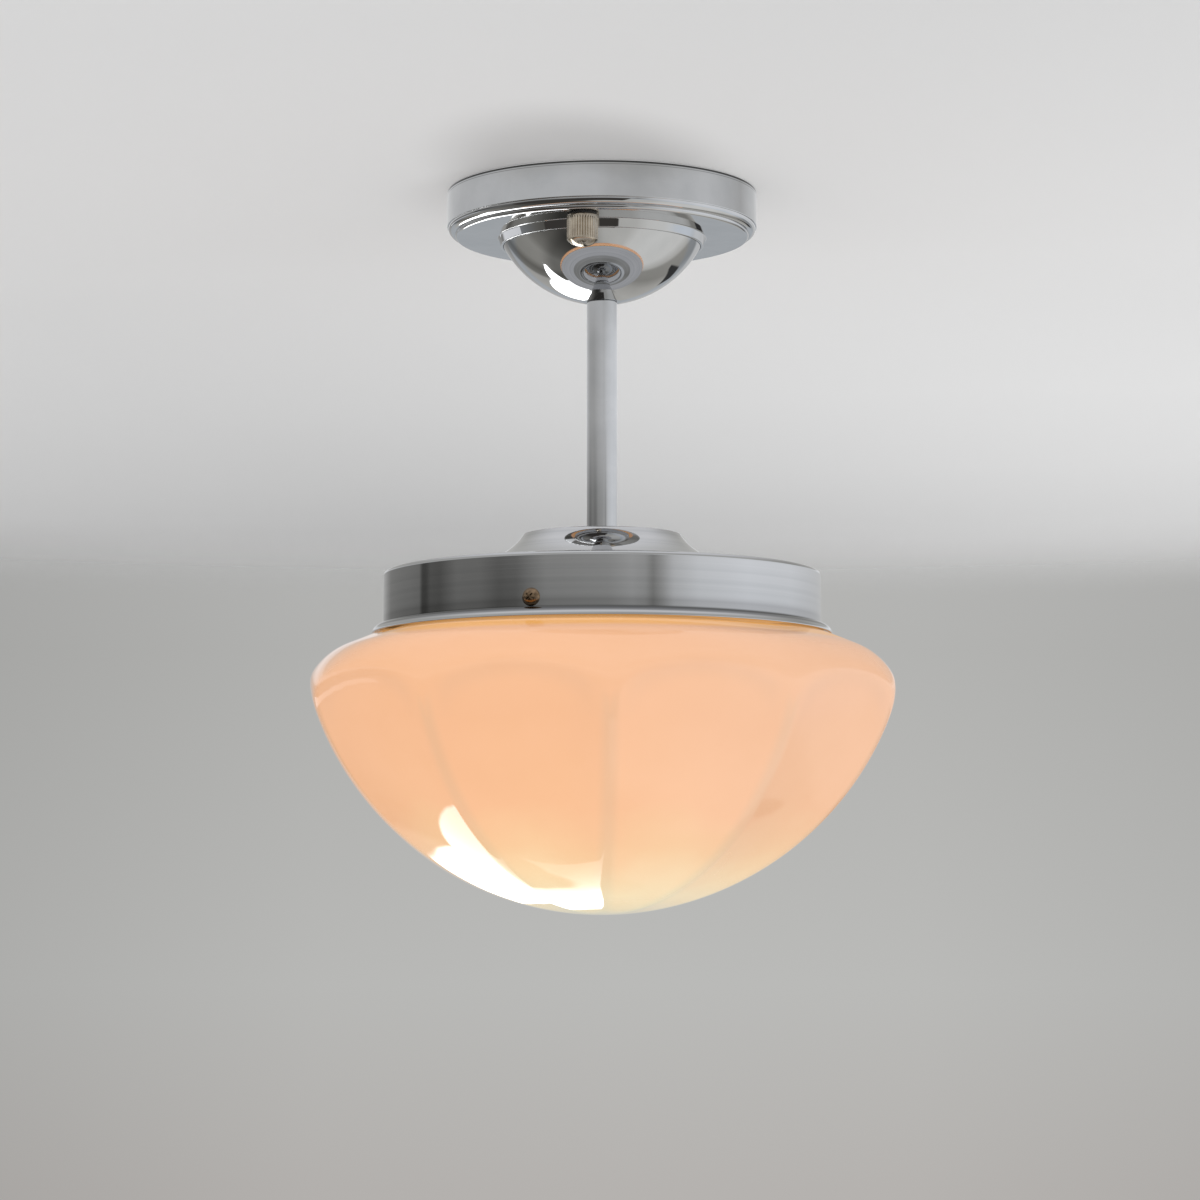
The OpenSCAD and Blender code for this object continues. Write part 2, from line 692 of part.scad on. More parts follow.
// Lampholder cover, threaded on the nipple
module holder_cover() {
    r = holder_r - cover_step;
    wall_r = r - cover_wall;
    in_r = cover_neck_r - 1;
    bore_r = nipple_r + run_fit / 2;
    color(porcelain) rotate_extrude() polygon([
        [bore_r, holder_top_z], [cover_neck_r, holder_top_z],
        [cover_neck_r + 2, holder_top_z - 1.4], [r, body_top_z + 2], [r, body_top_z],
        [wall_r, body_top_z], [wall_r, body_top_z + 2], [in_r, holder_top_z - 5],
        [in_r, holder_top_z - nipple_grip], [bore_r, holder_top_z - nipple_grip]]);
}

// Porcelain body with a floor that carries the contact and the screw shell
module holder_body() {
    r = holder_r - cover_step;
    waist_z = body_top_z - 12;
    color(porcelain) difference() {
        rotate_extrude() polygon([
            [0, body_top_z], [r, body_top_z], [r, waist_z], [holder_r, waist_z - cover_step - 1],
            [holder_r, holder_low_z + 1], [holder_r - 1, holder_low_z],
            [shell_r, holder_low_z], [shell_r, floor_z], [0, floor_z]]);
        for (s = [-1, 1]) translate([s * entry_x, 0, floor_z - cut])
            cylinder(r = wire_r + slip, h = body_top_z - floor_z + 2 * cut);
    }
}

// Brass screw shell lining the lampholder
module holder_shell() {
    color(brass) ring(shell_r, cap_r + shell_gap, cap_l - cap_in, holder_low_z + 4);
}

// Sprung centre contact on the lampholder's floor
module holder_contact() {
    w = contact_w;
    color(brass) translate([-w / 2, 1 - w, bulb_top_z + slip]) {
        cube([w, w, contact_t]);
        translate([0, w - 1, 0]) cube([w, 1, floor_z - bulb_top_z - slip]);
    }
}

// Bulb: screw cap, insulator with its contact, and glass envelope
module bulb_cap() {
    color(brass) ring(cap_r, cap_r - cap_wall, cap_l - contact_h, bulb_top_z - cap_l);
}

module bulb_insulator() {
    top = bulb_top_z - contact_h;
    in_r = cap_r - cap_wall - run_fit;
    color(fibre) rotate_extrude() polygon([
        [0, bulb_top_z], [contact_r, bulb_top_z], [contact_r + 0.5, bulb_top_z - 1],
        [cap_r - 2, top + 0.6], [cap_r - 0.5, top], [in_r, top], [in_r, top - 3], [0, top - 3]]);
}

module bulb_glass() {
    top = bulb_top_z - cap_l;
    mid = bulb_tip_z + bulb_r;
    stem_r = cap_r - cap_wall - run_fit / 2;
    stem_l = 6;
    neck_z = mid + sqrt(bulb_r * bulb_r - bulb_neck_r * bulb_neck_r);
    flare_z = neck_z - 6;
    color("white") difference() {
        union() {
            translate([0, 0, mid]) sphere(r = bulb_r);
            translate([0, 0, flare_z])
                cylinder(r1 = bulb_neck_r + 4.5, r2 = bulb_neck_r, h = top - flare_z);
            translate([0, 0, top - cut]) cylinder(r = stem_r, h = stem_l);
        }
        translate([0, 0, mid]) sphere(r = bulb_r - bulb_wall);
        translate([0, 0, mid]) cylinder(r = stem_r - bulb_wall, h = top + stem_l - mid);
    }
}

// Wires. A wire is one tube swept along its points with a ring at each.
function unit(v) = v / norm(v);
function tangent_at(p, i) = unit(p[min(i + 1, len(p) - 1)] - p[max(i - 1, 0)]);
function curve(p, steps) = concat([for (i = [0:len(p) - 2], s = [0:steps - 1])
    let (a = p[max(i - 1, 0)], b = p[i], c = p[i + 1],
        d = p[min(i + 2, len(p) - 1)], t = s / steps)
    ((2 * b) + (c - a) * t + (2 * a - 5 * b + 4 * c - d) * t * t
        + (3 * b - a - 3 * c + d) * t * t * t) / 2], [p[len(p) - 1]]);

module wire(points, side) {
    sides = 8;
    p = curve(points, 3);
    n = len(p);
    rings = [for (i = [0:n - 1])
        let (t = tangent_at(p, i), u = unit(cross(t, side)), v = cross(t, u))
        for (k = [0:sides - 1]) let (a = k * 360 / sides)
            p[i] + wire_r * (cos(a) * u + sin(a) * v)];
    polyhedron(rings, concat(
        [[for (k = [0:sides - 1]) k]],
        [for (i = [0:n - 2], k = [0:sides - 1])
            let (a = i * sides + k, b = i * sides + (k + 1) % sides)
            each [[a, a + sides, b + sides], [a, b + sides, b]]],
        [[for (k = [sides - 1:-1:0]) (n - 1) * sides + k]]));
}

// Lamp wire down the rod; side -1 is live and 1 is neutral
module lamp_wire(side) {
    x = side * wire_out;
    pole_x = side * pole_pitch;
    y_in = block_y + 0.5;
    color(side < 0 ? "saddlebrown" : "royalblue") wire([
        [side * entry_x, 0, floor_z + 1], [side * entry_x, 0, body_top_z],
        [side * (entry_x - 1), 0, body_top_z + 3], [x, 0, holder_top_z - 5], [x, 0, crown_z],
        [x, 0, (crown_z + pole_z) / 2], [x, 0, pole_z], [x, 0, pole_z + 12],
        [side * 5, -1, pole_z + 22], [side * 9, -3, -20],
        [pole_x, -2, pole_bore_z - 3], [pole_x, 2, pole_bore_z], [pole_x, y_in, pole_bore_z]],
        [0, 1, 0.3]);
}

// Earth wire from the middle pole to the earth screw
module wire_earth() {
    color("yellowgreen") wire([
        [0, block_y + 0.5, pole_bore_z], [0, block_y - 3, pole_bore_z],
        [0, -1, pole_bore_z - 4], [0, -earth_y + 9, pole_bore_z - 2],
        [0, -earth_y + 4.8, -bar_t - wire_r - 0.2]],
        [1, 0, 0]);
}

ceiling_bracket();
stud_screws();
stud_nuts();
earth_screw();
terminal_block();
terminal_tubes();
terminal_screws();
canopy_pan();
canopy_dome();
cap_washer(-1);  // cap_washer_front
cap_nut(-1);  // cap_nut_front
cap_washer(1);  // cap_washer_back
cap_nut(1);  // cap_nut_back
top_nipple();
top_washer();
top_locknut();
rod();
rod_plugs();
bottom_nipple();
bottom_washer();
bottom_locknut();
gallery();
screw_bosses();
screw_tip(0);  // screw_tip_a
gallery_screw(0);  // gallery_screw_a
screw_tip(1);  // screw_tip_b
gallery_screw(1);  // gallery_screw_b
screw_tip(2);  // screw_tip_c
gallery_screw(2);  // gallery_screw_c
glass_bowl();
holder_cover();
holder_body();
holder_shell();
holder_contact();
bulb_cap();
bulb_insulator();
bulb_glass();
lamp_wire(-1);  // wire_live
lamp_wire(1);  // wire_neutral
wire_earth();
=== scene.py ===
"""Looks of the pendant light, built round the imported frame.

Blender works in metres. Every size of a piece is written in millimetres and scaled by MM.
"""
import math

import bpy
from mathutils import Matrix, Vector


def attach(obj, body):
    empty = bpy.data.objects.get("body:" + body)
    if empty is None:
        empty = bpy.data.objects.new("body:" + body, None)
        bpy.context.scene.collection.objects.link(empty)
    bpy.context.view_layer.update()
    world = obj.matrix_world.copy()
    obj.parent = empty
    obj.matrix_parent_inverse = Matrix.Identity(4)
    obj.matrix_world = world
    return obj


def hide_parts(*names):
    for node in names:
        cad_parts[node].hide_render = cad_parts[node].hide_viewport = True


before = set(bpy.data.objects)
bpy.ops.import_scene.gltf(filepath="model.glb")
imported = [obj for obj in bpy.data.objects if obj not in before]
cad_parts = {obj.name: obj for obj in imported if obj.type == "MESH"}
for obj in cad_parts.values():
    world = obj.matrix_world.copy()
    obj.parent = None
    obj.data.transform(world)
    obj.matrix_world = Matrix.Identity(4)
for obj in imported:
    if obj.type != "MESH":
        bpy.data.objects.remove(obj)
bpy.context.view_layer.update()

MM = 0.001

# Rose, dome and rod
ROSE_R, BAND_H, WALL = 81.5, 18.4, 1.2
OVOLO_R, BEAD_R, STEP = 3.1, 1.3, 0.5
COLLAR_R, COLLAR_LEAN, COLLAR_H = 53.3, 1.6, 4.5
POLE_Z, POLE_R = -57.6, 9.7
STUD_Y, STUD_R = 64.3, 2.05
NUT_R, NUT_L, NUT_GAP, NUT_RIM, KNURL, KNURLS = 8, 16, 1, 1.2, 0.42, 36
ROD_R, ROD_IN_R, BORE_R = 8, 6.5, 5.3

# Gallery
CROWN_Z, DRUM_Z, FLANGE_Z, MOUTH_Z = -181.2, -201.6, -229.2, -234.0
CROWN_TOP_R, CROWN_FOOT_R, CROWN_LEAN, CROWN_FLARE = 41.2, 74, 0.62, 2.26
DRUM_R, DRUM_EDGE, FLANGE_W, FLANGE_H = 114.1, 2, 6.0, 4.8
GALLERY_TURN, SCREW_Z, HEAD_R, HOLE_R = -8.9, -224.4, 4.6, 2.65

# Bowl
BOWL_R, SHOULDER_R, SLOPE, PANEL_ARC_R, TIP_Z = 155.3, 33.2, 22, 155.9, -379.1
NECK_R, RIM_Z, EDGE_R, EDGE_Z, GLASS_T = 103.9, -210.0, 118.9, -234.4, 3.4
GLASS_TURN, HALF_PANEL, PANELS = 10.4, 18.0, 10
SHOULDER_STEPS, PANEL_STEPS = 22, 72

# Heights and radii that follow from these
OVOLO_TOP = -(BAND_H + STEP)
BEAD_TOP = OVOLO_TOP - OVOLO_R - STEP
FACE_Z = BEAD_TOP - BEAD_R
SEAT_Z = FACE_Z + WALL
COLLAR_Z = FACE_Z - COLLAR_H
BEAD_EDGE_R = ROSE_R - 2 * STEP - OVOLO_R
FACE_EDGE_R = BEAD_EDGE_R - BEAD_R
DOME_NECK_R = COLLAR_R - WALL - 0.2
PANEL_Z = TIP_Z + PANEL_ARC_R
LEAN = math.radians(SLOPE)
ARC_X = BOWL_R - SHOULDER_R
ARC_Z = (EDGE_Z - (ARC_X + SHOULDER_R * math.sin(LEAN) - EDGE_R) * math.tan(LEAN)
         - SHOULDER_R * math.cos(LEAN))

WHITE, BLACK = (1.0, 1.0, 1.0), (0, 0, 0)


def grey(v):
    return (v, v, v)


def lin(r, g, b):
    """Linear colour of an sRGB colour in 0 to 255."""
    return tuple(c / 3294.6 if c <= 10 else ((c / 255 + 0.055) / 1.055) ** 2.4 for c in (r, g, b))


# Node helpers
class Nodes:
    """Builds a node tree: each method adds nodes and returns the output that they are used by."""

    def __init__(self, tree):
        self.tree = tree

    def put(self, value, socket):
        """Links an output to an input, or writes a plain value into it."""
        if isinstance(value, bpy.types.NodeSocket):
            self.tree.links.new(value, socket)
        elif socket.type == "RGBA":
            socket.default_value = (*value, 1)
        else:
            socket.default_value = value

    def add(self, kind, settings=None, **inputs):
        """Adds a node. An input is given by its name, or by i and its number."""
        n = self.tree.nodes.new(kind)
        for k, v in (settings or {}).items():
            setattr(n, k, v)
        for k, v in inputs.items():
            by_number = k[0] == "i" and k[1:].isdigit()
            self.put(v, n.inputs[int(k[1:])] if by_number else n.inputs[k.replace("_", " ")])
        return n

    def math(self, op, a, b=0.0):
        return self.add("ShaderNodeMath", {"operation": op}, i0=a, i1=b).outputs[0]

    def plus(self, a, b):
        return self.math("ADD", a, b)

    def less(self, a, b):
        return self.math("SUBTRACT", a, b)

    def times(self, a, b):
        return self.math("MULTIPLY", a, b)

    def root(self, a):
        return self.math("SQRT", a)

    def reach(self, p, centre):
        """Distance from a point."""
        n = self.add("ShaderNodeVectorMath", {"operation": "DISTANCE"}, i0=p, i1=centre)
        return n.outputs["Value"]

    def span(self, v, a, b, to_a=0.0, to_b=1.0, kind="SMOOTHSTEP"):
        """Goes from to_a at a to to_b at b, and stays there outside."""
        return self.add("ShaderNodeMapRange", {"interpolation_type": kind}, Value=v, From_Min=a,
                        From_Max=b, To_Min=to_a, To_Max=to_b).outputs[0]

    def line(self, v, a, b):
        return self.span(v, a, b, kind="LINEAR")

    def mix(self, f, a, b, blend="MIX"):
        n = self.add("ShaderNodeMix", {"data_type": "RGBA", "blend_type": blend}, i0=f, i6=a, i7=b)
        return n.outputs[2]

    def tint(self, a, b):
        """One colour times another."""
        return self.mix(1.0, a, b, "MULTIPLY")

    def ramp(self, f, stops):
        """Colours at places from 0 to 1. A plain number stands for a grey."""
        n = self.add("ShaderNodeValToRGB", None, Fac=f)
        e = n.color_ramp.elements
        while len(e) < len(stops):
            e.new(0.5)
        for q, (place, tone) in zip(e, stops):
            q.position, q.color = place, (*(tone if isinstance(tone, tuple) else grey(tone)), 1)
        return n.outputs[0]

    def noise(self, where, scale, detail=2.0, rough=0.5):
        return self.add("ShaderNodeTexNoise", None, Vector=where, Scale=scale, Detail=detail,
                        Roughness=rough).outputs[0]

    def place(self):
        return self.add("ShaderNodeTexCoord").outputs["Object"]

    def apart(self, v):
        n = self.add("ShaderNodeSeparateXYZ", None, Vector=v)
        return n.outputs[0], n.outputs[1], n.outputs[2]

    def join(self, x, y, z):
        return self.add("ShaderNodeCombineXYZ", None, X=x, Y=y, Z=z).outputs[0]

    def radius(self, x, y):
        return self.root(self.plus(self.times(x, x), self.times(y, y)))

    def bump(self, height, strength, distance):
        return self.add("ShaderNodeBump", None, Height=height, Strength=strength,
                        Distance=distance).outputs[0]

    def rings(self, scale, seed=0.0):
        """Noise that changes with radius and height only, like the marks of a lathe."""
        x, y, z = self.apart(self.place())
        return self.noise(self.join(self.radius(x, y), seed, z), scale, 3)


def material(name, **values):
    """A new material, its Nodes, and a function that links an output to its shader."""
    m = bpy.data.materials.new(name)
    m.use_nodes = True
    shader = m.node_tree.nodes["Principled BSDF"]
    for k, v in values.items():
        shader.inputs[k.replace("_", " ")].default_value = v

    def use(output, socket):
        m.node_tree.links.new(output, shader.inputs[socket])

    return m, Nodes(m.node_tree), use


# Materials
def polished(name, dark, light, rough, marks, scale=60.0):
    """Polished metal: faint clouding, lathe marks and the slight waviness of thin sheet.

    The rose's top edge gets painted shade: a dark line where it meets the ceiling, with a fainter
    line under it.
    """
    gap_shade_depth, waviness = 0.003, 0.05
    m, n, use = material(name, Metallic=1.0)
    # Painted shade: a dark line at the rose's top edge where it meets the ceiling, and a fainter
    # line under it
    edge = n.ramp(n.line(n.apart(n.place())[2], -gap_shade_depth, 0.0), [
        (0.30, 1.0), (0.36, 0.62), (0.44, 0.62), (0.50, 1.0), (0.62, 1.0), (0.70, 0.15)])
    cloud = n.ramp(n.noise(n.place(), scale, 4), [(0.3, dark), (0.7, light)])
    use(n.tint(cloud, edge), "Base Color")
    smear = n.noise(n.place(), scale * 0.6, 5, 0.65)
    lathe_marks = n.rings(1400)
    use(n.plus(n.span(smear, 0.35, 0.75, *rough), n.times(lathe_marks, marks)), "Roughness")
    height = n.plus(n.times(n.noise(n.place(), 22, 1), waviness),
                    n.times(lathe_marks, 0.02 * marks))
    use(n.bump(height, 0.6, 0.002), "Normal")
    return m


def dull(name, a, b, scale, rough, bump=0.1, **values):
    """Plain hard material with a mottled colour and a fine surface."""
    m, n, use = material(name, **values)
    spots = n.noise(n.place(), scale, 5, 0.6)
    use(n.ramp(spots, [(0.3, a), (0.7, b)]), "Base Color")
    use(n.span(spots, 0.3, 0.7, *rough), "Roughness")
    use(n.bump(n.noise(n.place(), scale * 6, 3), bump, 0.0003), "Normal")
    return m


def spun_chrome():
    """The gallery's chrome: softer reflections with faint level streaks.

    Painted shade darkens the drum's foot, and the seam between it and the flange still more.
    """
    foot_low, foot_high = -0.233, -0.223
    m, n, use = material("chrome_spun", Metallic=1.0)
    # Painted shade on the drum's foot and, darker, in the seam above the flange
    foot = n.ramp(n.line(n.apart(n.place())[2], foot_low, foot_high), [
        (0.09, 1.0), (0.17, 0.42), (0.38, 0.36), (0.44, 0.72), (0.70, 0.74), (1.0, 1.0)])
    streaks = n.ramp(n.rings(260, 3.0), [(0.3, (0.52, 0.53, 0.54)), (0.7, (0.61, 0.615, 0.625))])
    use(n.tint(streaks, foot), "Base Color")
    clouds = n.span(n.noise(n.place(), 30, 4), 0.3, 0.7, 0.02, 0.05)
    use(n.plus(clouds, n.times(n.rings(900), 0.02)), "Roughness")
    height = n.plus(n.times(n.rings(160), 0.10), n.noise(n.place(), 12, 1))
    use(n.bump(height, 0.5, 0.0004), "Normal")
    return m


def opal_glass():
    """Opal glass lit by the bulb.

    The glow fades with the distance from the bulb. At the ridges and in the arches over the panels
    it is dimmer and cooler: partly a weaker glow through the thicker glass, partly a painted
    reflection of the cool room. It is orange where it leaves through the edge under the flange,
    and brown further in as painted shade under the flange. A painted light tints it bluish on the
    right and a little warmer on the left. The glaze is a clear coat with slow waves round the
    bowl.
    """
    bulb, glow_from, glow_to = (0, 0, -0.300), 0.07, 0.17
    wave_height, half_wave, wave_start = 0.0174, 36, 117.0
    m, n, use = material("opal_glass", Roughness=0.35, Specular_IOR_Level=0.0, Coat_Weight=1.0,
                         Coat_Roughness=0.015, Coat_IOR=1.5, Emission_Strength=1.0)
    p = n.place()
    x, y, z = n.apart(p)
    r = n.radius(x, y)
    cloud = n.span(n.noise(p, 14, 3), 0.3, 0.7, -0.004, 0.004)
    glow = n.ramp(n.line(n.plus(n.reach(p, bulb), cloud), glow_from, glow_to), [
        (0.08, (0.96, 0.83, 0.49)), (0.24, (0.95, 0.67, 0.36)), (0.36, (0.93, 0.56, 0.28)),
        (0.52, (0.91, 0.475, 0.235)), (0.75, (0.88, 0.45, 0.225)), (1.0, (0.88, 0.465, 0.24))])
    # Painted light: the glow is tinted bluish on the right and a little warmer on the left, as if
    # cool light fell from the right
    glow = n.tint(glow, n.ramp(n.span(x, -0.15, 0.15), [
        (0.0, (0.99, 0.98, 0.96)), (0.5, WHITE), (1.0, (0.94, 0.98, 1.07))]))

    # Ridges and arches: off is the angle from the nearest ridge, and gap is how far the panel's
    # face lies outside the round shoulder
    around = n.times(n.math("ARCTAN2", y, x), 180 / math.pi)
    off = n.math("PINGPONG", n.less(around, GLASS_TURN - 90), HALF_PANEL)
    below = n.less(z, PANEL_Z * MM)
    face = n.root(n.less((PANEL_ARC_R * MM) ** 2, n.times(below, below)))
    turn = n.times(n.less(HALF_PANEL, off), math.pi / 180)
    face = n.math("DIVIDE", face, n.math("COSINE", turn))
    high = n.math("MAXIMUM", n.less(z, ARC_Z * MM), -0.012)
    turned = n.root(n.less((SHOULDER_R * MM) ** 2, n.times(high, high)))
    gap = n.less(face, n.plus(turned, ARC_X * MM))
    side = n.times(r, n.math("SINE", n.times(off, math.pi / 180)))
    ridge = n.times(n.span(side, 0.0065, 0.0005), n.span(gap, 0.0, -0.003))
    arch = n.times(n.span(gap, -0.0065, -0.0025), n.span(gap, 0.0015, -0.0025))
    arch = n.times(arch, n.span(off, 1.0, 6.0))
    # Ridges and arches dimmer and cooler: partly weaker glow through thicker glass, partly painted
    # reflection of the cool room
    glow = n.mix(n.times(ridge, 0.6), glow, n.tint(glow, (0.86, 0.96, 1.04)))
    glow = n.mix(n.times(arch, 0.55), glow, n.tint(glow, (0.92, 0.94, 0.98)))

    # The edge under the flange: orange where the glow leaves it, then brown further in as painted
    # shade under the flange
    under = n.span(z, -0.2425, -0.2405)
    glow = n.mix(n.times(n.span(r, 0.1345, 0.1285), under), glow, (0.94, 0.44, 0.10))
    glow = n.mix(n.times(n.span(r, 0.1240, 0.1210), under), glow, (0.60, 0.29, 0.09))
    use(glow, "Emission Color")
    use(n.ramp(n.noise(p, 40, 3), [(0.3, (0.100, 0.092, 0.086)), (0.7, (0.112, 0.102, 0.096))]),
        "Base Color")
    dimples = n.noise(p, 26, 2)
    use(n.bump(dimples, 0.1, 0.002), "Normal")

    # The glaze's waves, level near the tip
    turn = n.times(n.plus(around, wave_start), math.pi / half_wave)
    wave = n.times(n.times(r, n.math("SINE", turn)), n.span(z, -0.372, -0.350, 0.0, -wave_height))
    use(n.bump(n.plus(wave, n.times(dimples, 0.0002)), 1.0, 1.0), "Coat Normal")
    return m


def lit_bulb():
    m, n, use = material("bulb_glass", Roughness=0.3, Emission_Strength=3.0)
    p = n.place()
    use(n.ramp(n.span(n.reach(p, (0, 0, -0.28)), 0.0, 0.06), [
        (0.0, (1.0, 0.86, 0.6)), (1.0, (1.0, 0.72, 0.42))]), "Emission Color")
    use(n.ramp(n.noise(p, 80, 2), [(0.3, (0.85, 0.82, 0.76)), (0.7, (0.9, 0.88, 0.83))]),
        "Base Color")
    return m


MAT = {
    "chrome": polished("chrome", (0.54, 0.55, 0.56), (0.60, 0.605, 0.615), (0.015, 0.04), 0.01),
    "nickel": polished("nickel", (0.42, 0.36, 0.29), (0.62, 0.55, 0.45), (0.10, 0.2), 0.03,
                       scale=220.0),
    "zinc_steel": dull("zinc_steel", (0.42, 0.43, 0.44), (0.62, 0.63, 0.64), 300, (0.25, 0.45),
                       Metallic=1.0),
    "brass": dull("brass", (0.62, 0.42, 0.16), (0.80, 0.58, 0.26), 260, (0.22, 0.4), Metallic=1.0),
    "screw_brass": dull("screw_brass", (0.11, 0.075, 0.05), (0.34, 0.24, 0.15), 420, (0.12, 0.28),
                        Metallic=1.0),
    "porcelain": dull("porcelain", (0.80, 0.79, 0.74), (0.88, 0.87, 0.83), 120, (0.12, 0.2),
                      bump=0.05, Coat_Weight=0.5),
    "nylon": dull("nylon", (0.74, 0.74, 0.69), (0.82, 0.82, 0.78), 200, (0.4, 0.55)),
    "fibre": dull("fibre", (0.012, 0.011, 0.010), (0.035, 0.032, 0.030), 700, (0.6, 0.85),
                  bump=0.4),
    "wire_brown": dull("wire_brown", (0.10, 0.035, 0.015), (0.15, 0.055, 0.025), 500, (0.3, 0.45)),
    "wire_blue": dull("wire_blue", (0.01, 0.06, 0.30), (0.02, 0.10, 0.42), 500, (0.3, 0.45)),
    "wire_green": dull("wire_green", (0.04, 0.26, 0.05), (0.07, 0.38, 0.08), 500, (0.3, 0.45)),
    "chrome_spun": spun_chrome(),
    "opal_glass": opal_glass(),
    "bulb_glass": lit_bulb(),
}


# Mesh helpers
def solid(name, verts, faces):
    """A mesh object from points in millimetres."""
    mesh = bpy.data.meshes.new(name)
    mesh.from_pydata([(x * MM, y * MM, z * MM) for x, y, z in verts], [], faces)
    o = bpy.data.objects.new(name, mesh)
    bpy.context.scene.collection.objects.link(o)
    return o


def piece(name, verts, faces, mat, body, node, slot, crease=32.0):
    o = solid(name, verts, faces)
    o.data.validate()
    o.data.shade_smooth()
    o.data.set_sharp_from_angle(angle=math.radians(crease))
    o.data.materials.append(MAT[mat])
    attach(o, body)
    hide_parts(node)
    return o


def drill(o, pins, crease=32.0):
    """Cuts the pins, a mesh object, out of a piece, and removes them."""
    cut = o.modifiers.new("holes", "BOOLEAN")
    cut.operation, cut.solver, cut.object = "DIFFERENCE", "EXACT", pins
    bpy.context.view_layer.update()
    depsgraph = bpy.context.evaluated_depsgraph_get()
    drilled = bpy.data.meshes.new_from_object(o.evaluated_get(depsgraph))
    o.modifiers.clear()
    o.data = drilled
    drilled.set_sharp_from_angle(angle=math.radians(crease))
    bpy.data.objects.remove(pins)


def arc(cx, cz, rx, rz, a, b, n):
    """Points on an oval from angle a to angle b, in n steps."""
    turns = [math.radians(a + (b - a) * i / n) for i in range(n + 1)]
    return [(cx + rx * math.cos(t), cz + rz * math.sin(t)) for t in turns]


def rounded(points, radius, steps=4):
    """Rounds each sharp corner of a closed profile.

    A point may carry its own radius as a third number. A corner that is nearly straight stays.
    """
    nearly_straight, least, most = math.radians(150), 1e-6, 0.45
    out = []
    for i, p in enumerate(points):
        before, after = points[i - 1], points[(i + 1) % len(points)]
        r = p[2] if len(p) > 2 else radius
        q = Vector(p[:2])
        u, v = Vector(before[:2]) - q, Vector(after[:2]) - q
        if r <= 0 or min(u.length, v.length) < least or u.angle(v) > nearly_straight:
            out.append(p[:2])
            continue
        cut = min(r / math.tan(u.angle(v) / 2), u.length * most, v.length * most)
        s, e = q + u.normalized() * cut, q + v.normalized() * cut
        for j in range(steps + 1):
            t = j / steps
            out.append(tuple((1 - t) ** 2 * s + 2 * t * (1 - t) * q + t * t * e))
    return out


def held(profile, gap=0.25):
    """Adds a point near each end of every long run, so that its shading stays straight there."""
    out = []
    for i, p in enumerate(profile):
        q = profile[(i + 1) % len(profile)]
        run = math.hypot(q[0] - p[0], q[1] - p[1])
        out.append(p)
        if run > 8 * gap:
            for t in (gap / run, 1 - gap / run):
                out.append((p[0] + (q[0] - p[0]) * t, p[1] + (q[1] - p[1]) * t))
    return out


def lathe(profile, steps, radius=None, centre=(0, 0)):
    """A closed profile of (radius, height) turned round a vertical axis.

    radius(r, z, angle) may change each point's radius.
    """
    verts, faces = [], []
    profile = held(profile)
    k = len(profile)
    for j in range(steps):
        a = 2 * math.pi * j / steps
        for r, z in profile:
            q = radius(r, z, a) if radius else r
            verts.append((centre[0] + q * math.cos(a), centre[1] + q * math.sin(a), z))
        here, there = j * k, (j + 1) % steps * k
        faces += [(here + i, there + i, there + (i + 1) % k, here + (i + 1) % k) for i in range(k)]
    return verts, faces


# Rose: band, quarter round, bead, flat face and turned-down collar
rose = [(ROSE_R, 0), (ROSE_R, -BAND_H), (ROSE_R - STEP, -BAND_H, 0.1)]
rose += arc(ROSE_R - STEP - OVOLO_R, OVOLO_TOP, OVOLO_R, OVOLO_R, 0, -90, 16)
rose += [(BEAD_EDGE_R, OVOLO_TOP - OVOLO_R, 0.1)]
rose += arc(FACE_EDGE_R, BEAD_TOP, BEAD_R, BEAD_R, 0, -90, 10)
rose += [(COLLAR_R + COLLAR_LEAN, FACE_Z, 0.5), (COLLAR_R, COLLAR_Z, 0.35),
         (COLLAR_R - WALL, COLLAR_Z, 0.2), (COLLAR_R - WALL, SEAT_Z), (FACE_EDGE_R - WALL, SEAT_Z),
         (BEAD_EDGE_R - WALL, SEAT_Z + BEAD_R),
         (ROSE_R - STEP - WALL - OVOLO_R, OVOLO_TOP - OVOLO_R + WALL),
         (ROSE_R - WALL - STEP, OVOLO_TOP + WALL), (ROSE_R - WALL, -BAND_H + WALL),
         (ROSE_R - WALL, 0)]
piece("rose_spinning", *lathe(rounded(rose, 0.2), 256), "chrome", "fitting", "canopy_pan",
      "chrome")

# Dome: part of a sphere with a flat pole, and a flange that sits inside the rose
rise = ((DOME_NECK_R ** 2 - POLE_R ** 2 + COLLAR_Z ** 2 - POLE_Z ** 2)
        / (2 * (COLLAR_Z - POLE_Z)))
ball = math.hypot(POLE_R, rise - POLE_Z)
neck_a = math.degrees(math.atan2(COLLAR_Z - rise, DOME_NECK_R))
pole_a = math.degrees(math.atan2(POLE_Z - rise, POLE_R))
dome = [(DOME_NECK_R, SEAT_Z, 0.3)] + arc(0, rise, ball, ball, neck_a, pole_a, 48)
dome += [(BORE_R, POLE_Z), (BORE_R, POLE_Z + WALL)]
dome += arc(0, rise, ball - WALL, ball - WALL, pole_a + 1, neck_a, 24)
dome += [(DOME_NECK_R - WALL, SEAT_Z + WALL), (COLLAR_R + 4, SEAT_Z + WALL),
         (COLLAR_R + 4, SEAT_Z)]
piece("dome_spinning", *lathe(rounded(dome, 0.15), 256), "chrome", "fitting", "canopy_dome",
      "chrome")

# Rod
rod = [(ROD_R, POLE_Z, 0.4), (ROD_R, CROWN_Z, 0.4), (ROD_IN_R, CROWN_Z), (ROD_IN_R, POLE_Z)]
piece("rod_tube", *lathe(rounded(rod, 0.3), 96), "chrome", "fitting", "rod", "chrome")

